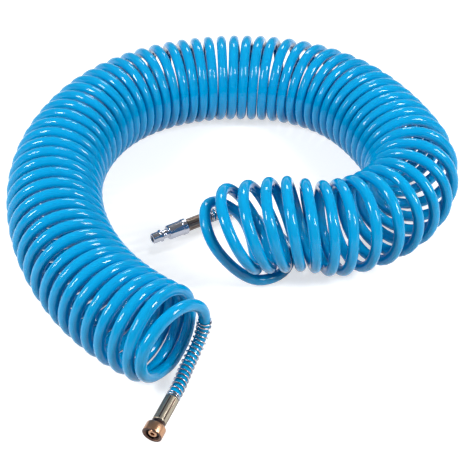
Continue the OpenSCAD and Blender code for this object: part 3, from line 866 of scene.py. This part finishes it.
# %% Turning marks
turning, given, out = new_group("turning_marks", [("Ring Size", 0.0002)], ["Marks"])
split = add(turning, "ShaderNodeSeparateXYZ", Vector=given["Position"])
rings_across = math_node(turning, "DIVIDE", distance_from_axis(turning, split), given["Ring Size"])
rings_along = math_node(turning, "DIVIDE", split.outputs["Z"], given["Ring Size"])
ring_place = add(turning, "ShaderNodeCombineXYZ", X=rings_across, Y=rings_along)
put(turning, out.inputs["Marks"], noise(turning, ring_place.outputs[0], detail=3.0, roughness=0.6))

# %% Smudges and scratches
SCRATCH_TURN = (0.4, 0.9, 0.3)
SCRATCH_STRETCH = (1.0, 26.0, 9.0)
SCRATCH_FROM = 0.66
SCRATCH_ROUGHNESS = 0.15

handling, given, out = new_group(
    "handling", [("Size", 0.01), ("Roughness", 0.3), ("Change", 0.1), ("Scratches", 0.2)],
    ["Roughness", "Scratch Mask"])
size = add(handling, "ShaderNodeCombineXYZ", X=given["Size"], Y=given["Size"], Z=given["Size"])
scaled = add(handling, "ShaderNodeVectorMath", operation="DIVIDE")
put(handling, scaled.inputs[0], given["Position"])
put(handling, scaled.inputs[1], size.outputs[0])
cloud = noise(handling, scaled.outputs[0], detail=4.0, roughness=0.55)
swing = math_node(handling, "MULTIPLY", math_node(handling, "SUBTRACT", cloud, 0.5), given["Change"])
smudged = math_node(handling, "ADD", given["Roughness"], math_node(handling, "MULTIPLY", swing, 2.0))
scratch_way = add(
    handling, "ShaderNodeMapping", Vector=scaled.outputs[0], Rotation=SCRATCH_TURN, Scale=SCRATCH_STRETCH)
streaks = noise(handling, scratch_way.outputs[0], detail=2.0, roughness=0.5, scale=1.2)
mask = math_node(handling, "MULTIPLY", math_node(handling, "GREATER_THAN", streaks, SCRATCH_FROM),
                 given["Scratches"])
put(handling, out.inputs["Scratch Mask"], mask)
scratched = math_node(handling, "MULTIPLY", mask, SCRATCH_ROUGHNESS)
put(handling, out.inputs["Roughness"], math_node(handling, "ADD", smudged, scratched))
print("node groups:", sorted(group.name for group in bpy.data.node_groups))

# %% [markdown]
# ## Polyurethane
#
# The hose is polyurethane coloured a strong blue. Light enters it and comes out a little further on,
# so its shadows stay blue: that is what subsurface scattering does. Most of its gloss comes from a thin
# clear coat, which keeps the streaks of light crisp and the blue deep. Its skin has fine lines along it
# from the die that it was pushed through, and slow waves left by cooling.

# %% The hose's finish
def new_material(name):
    material = bpy.data.materials.new(name)
    material.use_nodes = True
    tree = material.node_tree
    return material, tree, tree.nodes["Principled BSDF"]


def fine_relief(tree, shader, height, strength, distance):
    bump = add(tree, "ShaderNodeBump", Height=height, Strength=strength, Distance=distance)
    put(tree, shader.inputs["Normal"], bump.outputs["Normal"])


HOSE_BLUE = (0.0, 0.335, 0.655, 1)
HOSE_DEEP_BLUE = (0.0, 0.288, 0.592, 1)
DIE_LINES_A_METRE = (14.0, 2600.0, 1.0)
WAVES_A_METRE = (55.0, 130.0, 1.0)
DIE_LINE_SHARE = 0.05
HOSE_RELIEF = 0.00012

polyurethane, tree, shader = new_material("hose_polyurethane")
shader.inputs["IOR"].default_value = 1.5
shader.inputs["Specular IOR Level"].default_value = 0.05
shader.inputs["Coat Weight"].default_value = 0.45
shader.inputs["Coat Roughness"].default_value = 0.05
shader.inputs["Subsurface Weight"].default_value = 0.15
shader.inputs["Subsurface Radius"].default_value = (0.3, 0.7, 1.0)
shader.inputs["Subsurface Scale"].default_value = 0.002
metres = add(tree, "ShaderNodeUVMap", uv_map="metres")
die_way = add(tree, "ShaderNodeMapping", Vector=metres.outputs["UV"], Scale=DIE_LINES_A_METRE)
die_lines = noise(tree, die_way.outputs[0], detail=2.0, roughness=0.5)
wave_way = add(tree, "ShaderNodeMapping", Vector=metres.outputs["UV"], Scale=WAVES_A_METRE)
waves = noise(tree, wave_way.outputs[0], detail=2.0, roughness=0.45)
put(tree, shader.inputs["Base Color"], mixed(tree, waves, HOSE_DEEP_BLUE, HOSE_BLUE))
place = add(tree, "ShaderNodeTexCoord")
smudges = use_group(tree, handling, Position=place.outputs["Object"], Size=0.02, Roughness=0.09, Change=0.03,
                    Scratches=0.25)
put(tree, shader.inputs["Roughness"], smudges["Roughness"])
relief = math_node(tree, "ADD", waves, math_node(tree, "MULTIPLY", die_lines, DIE_LINE_SHARE))
fine_relief(tree, shader, relief, 0.5, HOSE_RELIEF)
hose.data.materials.append(polyurethane)

# %% [markdown]
# ## Metals
#
# All the metals are turned or drawn, so one rule makes them. Each reads the position on its own fitting,
# with the axis of the fitting as Z, so that the rings of the tool lie round it. A Mapping node of the kind
# Texture undoes the place of the fitting. The nut's bore, the ferrules' bores and the bottoms of their crimp
# lines are painted a dark colour as painted shade, and the nut's front face is painted the same dark colour.

# %% A turned metal
RING_SIZE = 0.00025
RING_DEPTH = 0.000006
# Dark colour painted as shade in bores and crimp lines, and painted on the nut's front face too.
BORE_SHADE_AND_DARK_FACE = (0.085, 0.05, 0.042)
WORN_BRIGHTER = 1.25


def opaque(colour, brighter=1):
    """The colour with its alpha, and made brighter where that is asked for."""
    return tuple(min(1, brighter * part) for part in colour) + (1,)


def turned_metal(name, colour, deep_colour, roughness, fitting, shade_and_dark_face=None):
    """The last argument is how deep the darkened front face reaches and the radius inside which the bore is
    painted dark as painted shade.
    """
    material, tree, shader = new_material(name)
    shader.inputs["Metallic"].default_value = 1.0
    place = add(tree, "ShaderNodeTexCoord")
    to_fitting = add(
        tree, "ShaderNodeMapping", vector_type="TEXTURE", Vector=place.outputs["Object"],
        Location=fitting.to_translation(), Rotation=fitting.to_euler()).outputs[0]
    marks = use_group(tree, turning, Position=to_fitting, Ring_Size=RING_SIZE)["Marks"]
    hands = use_group(tree, handling, Position=to_fitting, Size=0.006, Roughness=roughness, Change=0.06,
                      Scratches=0.3)
    shade = mixed(tree, marks, opaque(deep_colour), opaque(colour))
    shade = mixed(tree, hands["Scratch Mask"], shade, opaque(colour, WORN_BRIGHTER))
    # Painted shade: the bore and the crimp-line bottoms turn to the dark colour, and so does the front face
    # where one is given.
    if shade_and_dark_face:
        face_depth, bore_radius = shade_and_dark_face
        split = add(tree, "ShaderNodeSeparateXYZ", Vector=to_fitting)
        on_face = math_node(tree, "LESS_THAN", split.outputs["Z"], face_depth)
        in_bore = math_node(tree, "LESS_THAN", distance_from_axis(tree, split), bore_radius)
        shade = mixed(tree, math_node(tree, "MAXIMUM", on_face, in_bore), shade, opaque(BORE_SHADE_AND_DARK_FACE))
    put(tree, shader.inputs["Base Color"], shade)
    put(tree, shader.inputs["Roughness"], hands["Roughness"])
    fine_relief(tree, shader, marks, 0.6, RING_DEPTH)
    return material


# %% The metals and their pieces
BRASS, DEEP_BRASS = (0.56, 0.33, 0.20), (0.42, 0.23, 0.14)
NICKEL, DEEP_NICKEL = (0.55, 0.56, 0.62), (0.42, 0.44, 0.50)
PALE_PLATE, DEEP_PALE_PLATE = (0.44, 0.39, 0.30), (0.33, 0.29, 0.23)
DARK_PLATE, DEEP_DARK_PLATE = (0.22, 0.18, 0.15), (0.15, 0.125, 0.11)
WIRE_STEEL, DEEP_WIRE_STEEL = (0.50, 0.52, 0.56), (0.34, 0.36, 0.40)
# For each fitting, the depth of the darkened front face and the radius of the bore painted dark as painted
# shade; the ferrules have no darkened face.
NUT_DARK_FACE_AND_BORE_SHADE = (0.0004, 0.0067)
SLEEVE_BORE_AND_CRIMP_SHADE = (-1, 0.00585)

metals = {
    "nut_brass": turned_metal("nut_brass", BRASS, DEEP_BRASS, 0.34, at_nut, NUT_DARK_FACE_AND_BORE_SHADE),
    "stem_brass": turned_metal("stem_brass", BRASS, DEEP_BRASS, 0.3, at_nut),
    "nickel": turned_metal("nickel_plated_steel", NICKEL, DEEP_NICKEL, 0.2, at_plug),
    "pale": turned_metal("ferrule_pale_plated", PALE_PLATE, DEEP_PALE_PLATE, 0.4, at_nut, SLEEVE_BORE_AND_CRIMP_SHADE),
    "dark": turned_metal("ferrule_dark_plated", DARK_PLATE, DEEP_DARK_PLATE, 0.34, at_plug, SLEEVE_BORE_AND_CRIMP_SHADE),
    "wire": turned_metal("spring_steel", WIRE_STEEL, DEEP_WIRE_STEEL, 0.22, at_nut),
    "ring": turned_metal("ring_steel", WIRE_STEEL, DEEP_WIRE_STEEL, 0.3, at_plug)}


def dress(piece, material):
    """Put one material on a piece, in place of all it had."""
    piece.data.materials.clear()
    piece.data.materials.append(material)


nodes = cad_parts
metal_pieces = (
    (nut, "nut_brass"), (nut_stem, "stem_brass"), (plug, "nickel"), (nodes["plug_stem"], "nickel"),
    (nut_ferrule, "pale"), (plug_ferrule, "dark"), (nut_spring, "wire"), (plug_spring, "wire"),
    (nodes["plug_retaining_ring"], "ring"))
for piece, metal in metal_pieces:
    dress(piece, metals[metal])
print(len(metal_pieces), "pieces of metal in", len(metals), "finishes")

# %% [markdown]
# ## Rubber and plastic
#
# The O-rings are black nitrile rubber and the slip washers black acetal. Both are moulded: the rubber is
# dull and a little grey where it was touched, and the acetal has a soft, even sheen.

# %% Moulded black parts
GRAIN_BRIGHTER = 1.8


def moulded_black(name, colour, roughness, grain_size, grain_depth):
    material, tree, shader = new_material(name)
    place = add(tree, "ShaderNodeTexCoord").outputs["Object"]
    hands = use_group(tree, handling, Position=place, Size=0.004, Roughness=roughness, Change=0.1,
                      Scratches=0.1)
    grain = noise(tree, place, detail=3.0, roughness=0.6, scale=1 / grain_size)
    shade = mixed(tree, grain, opaque(colour), opaque(colour, GRAIN_BRIGHTER))
    put(tree, shader.inputs["Base Color"], shade)
    put(tree, shader.inputs["Roughness"], hands["Roughness"])
    fine_relief(tree, shader, grain, 0.5, grain_depth)
    return material


rubber = moulded_black("black_rubber", (0.012, 0.012, 0.013), 0.55, 0.0003, 0.00001)
plastic = moulded_black("black_plastic", (0.02, 0.02, 0.022), 0.38, 0.0005, 0.000005)
for name in ("cone_o_ring", "plug_o_ring"):
    dress(nodes[name], rubber)
for name in ("nut_slip_washer", "plug_slip_washer"):
    dress(nodes[name], plastic)
print(len(bpy.data.materials), "materials")

# %% [markdown]
# ## Floor, world and lights
#
# The floor and the world are plain white to the camera and to anything that mirrors them. Light Path tells
# one kind of ray from another, so the white needs no extra light on the hose. A studio has a pale wall all
# round but a dark ceiling, so what mirrors the world sees it white only near the horizon. Three soft lamps
# give the light: one in front on the left and one in front on the right draw the two streaks on every
# turn, and one behind draws the short streak at the top.

# %% The floor
def white_to(tree):
    """1 for the rays that show the background, from the camera or by way of metal and glass; else 0."""
    seen = add(tree, "ShaderNodeLightPath").outputs
    rays = math_node(tree, "ADD", seen["Is Camera Ray"], seen["Is Glossy Ray"])
    return math_node(tree, "MINIMUM", math_node(tree, "ADD", rays, seen["Is Transmission Ray"]), 1.0)


FLOOR_SIZE = 30
FLOOR_DROP = 0.0002
FLOOR_COLOUR = (0.6, 0.6, 0.6, 1)
FLOOR_GLOW = 0.65

deselect_all()
bpy.ops.mesh.primitive_plane_add(size=FLOOR_SIZE, location=(0, 0, -FLOOR_DROP))
floor = bpy.context.object
floor.name = floor.data.name = "floor"
bpy.ops.object.transform_apply(location=True, rotation=True, scale=True)
floor_white = bpy.data.materials.new("floor_white")
floor_white.use_nodes = True
tree = floor_white.node_tree
tree.nodes.clear()
matt = add(tree, "ShaderNodeBsdfDiffuse", Color=FLOOR_COLOUR)
glow = add(tree, "ShaderNodeEmission", Strength=math_node(tree, "MULTIPLY", white_to(tree), FLOOR_GLOW))
both = add(tree, "ShaderNodeAddShader")
tree.links.new(matt.outputs[0], both.inputs[0])
tree.links.new(glow.outputs[0], both.inputs[1])
surface = add(tree, "ShaderNodeOutputMaterial")
tree.links.new(both.outputs[0], surface.inputs["Surface"])
floor.data.materials.append(floor_white)

# %% The world
WORLD_FILL = 0.15
MIRRORED_CEILING = 0.25
HORIZON = 0.12

world = bpy.data.worlds.new("studio")
bpy.context.scene.world = world
world.use_nodes = True
tree = world.node_tree
tree.nodes.clear()
way = add(tree, "ShaderNodeSeparateXYZ", Vector=add(tree, "ShaderNodeTexCoord").outputs["Generated"])
near_horizon = math_node(tree, "LESS_THAN", way.outputs["Z"], HORIZON)
straight = add(tree, "ShaderNodeLightPath").outputs["Is Camera Ray"]
walls = math_node(tree, "MAXIMUM", math_node(tree, "MAXIMUM", near_horizon, straight), MIRRORED_CEILING)
shown = white_to(tree)
backdrop = math_node(tree, "MULTIPLY", shown, walls)
fill = math_node(tree, "MULTIPLY", math_node(tree, "SUBTRACT", 1.0, shown), WORLD_FILL)
sky = add(
    tree, "ShaderNodeBackground", Color=(1, 1, 1, 1), Strength=math_node(tree, "ADD", backdrop, fill))
surface = add(tree, "ShaderNodeOutputWorld")
tree.links.new(sky.outputs[0], surface.inputs["Surface"])

# %% The lamps
LAMPS_AIM = Vector((0, 0, 0.04))


def soft_lamp(name, place, size, power):
    deselect_all()
    bpy.ops.object.light_add(type="AREA", location=place)
    lamp = bpy.context.object
    lamp.name = lamp.data.name = name
    lamp.data.shape = "RECTANGLE"
    lamp.data.size, lamp.data.size_y = size
    lamp.data.energy = power
    lamp.rotation_euler = (LAMPS_AIM - Vector(place)).to_track_quat("-Z", "Y").to_euler()
    print(name, "gives", power, "W")


soft_lamp("softbox_left", (-1.1, -0.45, 0.88), (0.3, 0.55), 17)
soft_lamp("softbox_right", (1.0, -0.5, 0.92), (0.3, 0.55), 17)
soft_lamp("softbox_back", (0.1, 1.1, 1.1), (0.5, 0.3), 8)
